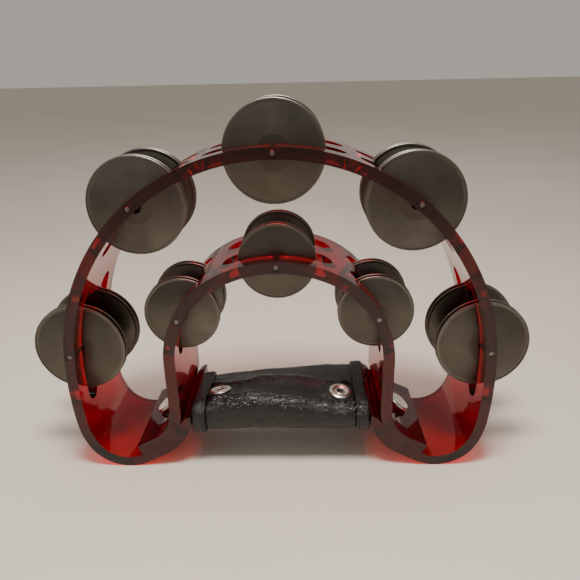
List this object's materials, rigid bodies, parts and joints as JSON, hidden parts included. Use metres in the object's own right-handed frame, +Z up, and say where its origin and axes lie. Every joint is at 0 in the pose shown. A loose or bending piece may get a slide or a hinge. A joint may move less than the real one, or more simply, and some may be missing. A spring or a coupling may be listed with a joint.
{
  "type": "half-moon tambourine",
  "caption": "Half-moon hand tambourine: outer arc and inner hand arch of bent red acrylic strip, paired metal jingles on cross pins in twin slots, and a padded black handle with snaps.",
  "frame": {"origin": "middle of the overall width and depth, at the ground plane under the two rounded bottom corners", "axes": "+X across the instrument to the right of a viewer facing its front edge, +Y from the front edge to the rear edge along every jingle pin, +Z up to the crown"},
  "size_m": [0.2862, 0.062, 0.2084],
  "materials": {
    "red_acrylic": "polished translucent red acrylic, flame-polished edges",
    "jingle_steel": "dull nickel-plated steel, lightly tarnished",
    "pin_steel": "plain steel rod",
    "rivet_nickel": "bright nickel plate",
    "nylon": "clear nylon washer, tinted by the acrylic",
    "foam": "closed-cell foam",
    "black_leather": "grained black leatherette, semi-gloss",
    "snap_nickel": "nickel-plated press stud ring",
    "black_thread": "waxed thread"
  },
  "bodies": {
    "frame": {"outer_band": "red_acrylic", "inner_band": "red_acrylic", "pin_top": "pin_steel", "pin_upper_left": "pin_steel", "pin_upper_right": "pin_steel", "pin_lower_left": "pin_steel", "pin_lower_right": "pin_steel", "pin_inner_top": "pin_steel", "pin_inner_side_left": "pin_steel", "pin_inner_side_right": "pin_steel", "rivets": "rivet_nickel", "rivet_washers": "nylon", "rivet_burrs": "rivet_nickel", "handle_foam": "foam", "handle_cover": "black_leather", "handle_hem_left": "black_leather", "handle_hem_right": "black_leather", "closure_flap": "black_leather", "snap_caps": "snap_nickel", "snap_studs": "snap_nickel", "thread_ends": "black_thread"},
    "jingle_top_1": {"jingle_top_1": "jingle_steel"},
    "jingle_top_2": {"jingle_top_2": "jingle_steel"},
    "jingle_top_3": {"jingle_top_3": "jingle_steel"},
    "jingle_top_4": {"jingle_top_4": "jingle_steel"},
    "jingle_upper_left_1": {"jingle_upper_left_1": "jingle_steel"},
    "jingle_upper_left_2": {"jingle_upper_left_2": "jingle_steel"},
    "jingle_upper_left_3": {"jingle_upper_left_3": "jingle_steel"},
    "jingle_upper_left_4": {"jingle_upper_left_4": "jingle_steel"},
    "jingle_upper_right_1": {"jingle_upper_right_1": "jingle_steel"},
    "jingle_upper_right_2": {"jingle_upper_right_2": "jingle_steel"},
    "jingle_upper_right_3": {"jingle_upper_right_3": "jingle_steel"},
    "jingle_upper_right_4": {"jingle_upper_right_4": "jingle_steel"},
    "jingle_lower_left_1": {"jingle_lower_left_1": "jingle_steel"},
    "jingle_lower_left_2": {"jingle_lower_left_2": "jingle_steel"},
    "jingle_lower_left_3": {"jingle_lower_left_3": "jingle_steel"},
    "jingle_lower_left_4": {"jingle_lower_left_4": "jingle_steel"},
    "jingle_lower_right_1": {"jingle_lower_right_1": "jingle_steel"},
    "jingle_lower_right_2": {"jingle_lower_right_2": "jingle_steel"},
    "jingle_lower_right_3": {"jingle_lower_right_3": "jingle_steel"},
    "jingle_lower_right_4": {"jingle_lower_right_4": "jingle_steel"},
    "jingle_inner_top_1": {"jingle_inner_top_1": "jingle_steel"},
    "jingle_inner_top_2": {"jingle_inner_top_2": "jingle_steel"},
    "jingle_inner_top_3": {"jingle_inner_top_3": "jingle_steel"},
    "jingle_inner_top_4": {"jingle_inner_top_4": "jingle_steel"},
    "jingle_inner_side_left_1": {"jingle_inner_side_left_1": "jingle_steel"},
    "jingle_inner_side_left_2": {"jingle_inner_side_left_2": "jingle_steel"},
    "jingle_inner_side_left_3": {"jingle_inner_side_left_3": "jingle_steel"},
    "jingle_inner_side_left_4": {"jingle_inner_side_left_4": "jingle_steel"},
    "jingle_inner_side_right_1": {"jingle_inner_side_right_1": "jingle_steel"},
    "jingle_inner_side_right_2": {"jingle_inner_side_right_2": "jingle_steel"},
    "jingle_inner_side_right_3": {"jingle_inner_side_right_3": "jingle_steel"},
    "jingle_inner_side_right_4": {"jingle_inner_side_right_4": "jingle_steel"}
  },
  "joints": [
    {"name": "top_1_slide", "type": "slide", "parent": "frame", "child": "jingle_top_1", "axis": [0, 1, 0], "range_m": [-0.0016, 0.001]},
    {"name": "top_2_slide", "type": "slide", "parent": "frame", "child": "jingle_top_2", "axis": [0, 1, 0], "range_m": [-0.001, 0.0016]},
    {"name": "top_3_slide", "type": "slide", "parent": "frame", "child": "jingle_top_3", "axis": [0, 1, 0], "range_m": [-0.0016, 0.001]},
    {"name": "top_4_slide", "type": "slide", "parent": "frame", "child": "jingle_top_4", "axis": [0, 1, 0], "range_m": [-0.001, 0.0016]},
    {"name": "upper_left_1_slide", "type": "slide", "parent": "frame", "child": "jingle_upper_left_1", "axis": [0, 1, 0], "range_m": [-0.0016, 0.001]},
    {"name": "upper_left_2_slide", "type": "slide", "parent": "frame", "child": "jingle_upper_left_2", "axis": [0, 1, 0], "range_m": [-0.001, 0.0016]},
    {"name": "upper_left_3_slide", "type": "slide", "parent": "frame", "child": "jingle_upper_left_3", "axis": [0, 1, 0], "range_m": [-0.0016, 0.001]},
    {"name": "upper_left_4_slide", "type": "slide", "parent": "frame", "child": "jingle_upper_left_4", "axis": [0, 1, 0], "range_m": [-0.001, 0.0016]},
    {"name": "upper_right_1_slide", "type": "slide", "parent": "frame", "child": "jingle_upper_right_1", "axis": [0, 1, 0], "range_m": [-0.0016, 0.001]},
    {"name": "upper_right_2_slide", "type": "slide", "parent": "frame", "child": "jingle_upper_right_2", "axis": [0, 1, 0], "range_m": [-0.001, 0.0016]},
    {"name": "upper_right_3_slide", "type": "slide", "parent": "frame", "child": "jingle_upper_right_3", "axis": [0, 1, 0], "range_m": [-0.0016, 0.001]},
    {"name": "upper_right_4_slide", "type": "slide", "parent": "frame", "child": "jingle_upper_right_4", "axis": [0, 1, 0], "range_m": [-0.001, 0.0016]},
    {"name": "lower_left_1_slide", "type": "slide", "parent": "frame", "child": "jingle_lower_left_1", "axis": [0, 1, 0], "range_m": [-0.0016, 0.001]},
    {"name": "lower_left_2_slide", "type": "slide", "parent": "frame", "child": "jingle_lower_left_2", "axis": [0, 1, 0], "range_m": [-0.001, 0.0016]},
    {"name": "lower_left_3_slide", "type": "slide", "parent": "frame", "child": "jingle_lower_left_3", "axis": [0, 1, 0], "range_m": [-0.0016, 0.001]},
    {"name": "lower_left_4_slide", "type": "slide", "parent": "frame", "child": "jingle_lower_left_4", "axis": [0, 1, 0], "range_m": [-0.001, 0.0016]},
    {"name": "lower_right_1_slide", "type": "slide", "parent": "frame", "child": "jingle_lower_right_1", "axis": [0, 1, 0], "range_m": [-0.0016, 0.001]},
    {"name": "lower_right_2_slide", "type": "slide", "parent": "frame", "child": "jingle_lower_right_2", "axis": [0, 1, 0], "range_m": [-0.001, 0.0016]},
    {"name": "lower_right_3_slide", "type": "slide", "parent": "frame", "child": "jingle_lower_right_3", "axis": [0, 1, 0], "range_m": [-0.0016, 0.001]},
    {"name": "lower_right_4_slide", "type": "slide", "parent": "frame", "child": "jingle_lower_right_4", "axis": [0, 1, 0], "range_m": [-0.001, 0.0016]},
    {"name": "inner_top_1_slide", "type": "slide", "parent": "frame", "child": "jingle_inner_top_1", "axis": [0, 1, 0], "range_m": [-0.0016, 0.001]},
    {"name": "inner_top_2_slide", "type": "slide", "parent": "frame", "child": "jingle_inner_top_2", "axis": [0, 1, 0], "range_m": [-0.001, 0.0016]},
    {"name": "inner_top_3_slide", "type": "slide", "parent": "frame", "child": "jingle_inner_top_3", "axis": [0, 1, 0], "range_m": [-0.0016, 0.001]},
    {"name": "inner_top_4_slide", "type": "slide", "parent": "frame", "child": "jingle_inner_top_4", "axis": [0, 1, 0], "range_m": [-0.001, 0.0016]},
    {"name": "inner_side_left_1_slide", "type": "slide", "parent": "frame", "child": "jingle_inner_side_left_1", "axis": [0, 1, 0], "range_m": [-0.0016, 0.001]},
    {"name": "inner_side_left_2_slide", "type": "slide", "parent": "frame", "child": "jingle_inner_side_left_2", "axis": [0, 1, 0], "range_m": [-0.001, 0.0016]},
    {"name": "inner_side_left_3_slide", "type": "slide", "parent": "frame", "child": "jingle_inner_side_left_3", "axis": [0, 1, 0], "range_m": [-0.0016, 0.001]},
    {"name": "inner_side_left_4_slide", "type": "slide", "parent": "frame", "child": "jingle_inner_side_left_4", "axis": [0, 1, 0], "range_m": [-0.001, 0.0016]},
    {"name": "inner_side_right_1_slide", "type": "slide", "parent": "frame", "child": "jingle_inner_side_right_1", "axis": [0, 1, 0], "range_m": [-0.0016, 0.001]},
    {"name": "inner_side_right_2_slide", "type": "slide", "parent": "frame", "child": "jingle_inner_side_right_2", "axis": [0, 1, 0], "range_m": [-0.001, 0.0016]},
    {"name": "inner_side_right_3_slide", "type": "slide", "parent": "frame", "child": "jingle_inner_side_right_3", "axis": [0, 1, 0], "range_m": [-0.0016, 0.001]},
    {"name": "inner_side_right_4_slide", "type": "slide", "parent": "frame", "child": "jingle_inner_side_right_4", "axis": [0, 1, 0], "range_m": [-0.001, 0.0016]}
  ]
}
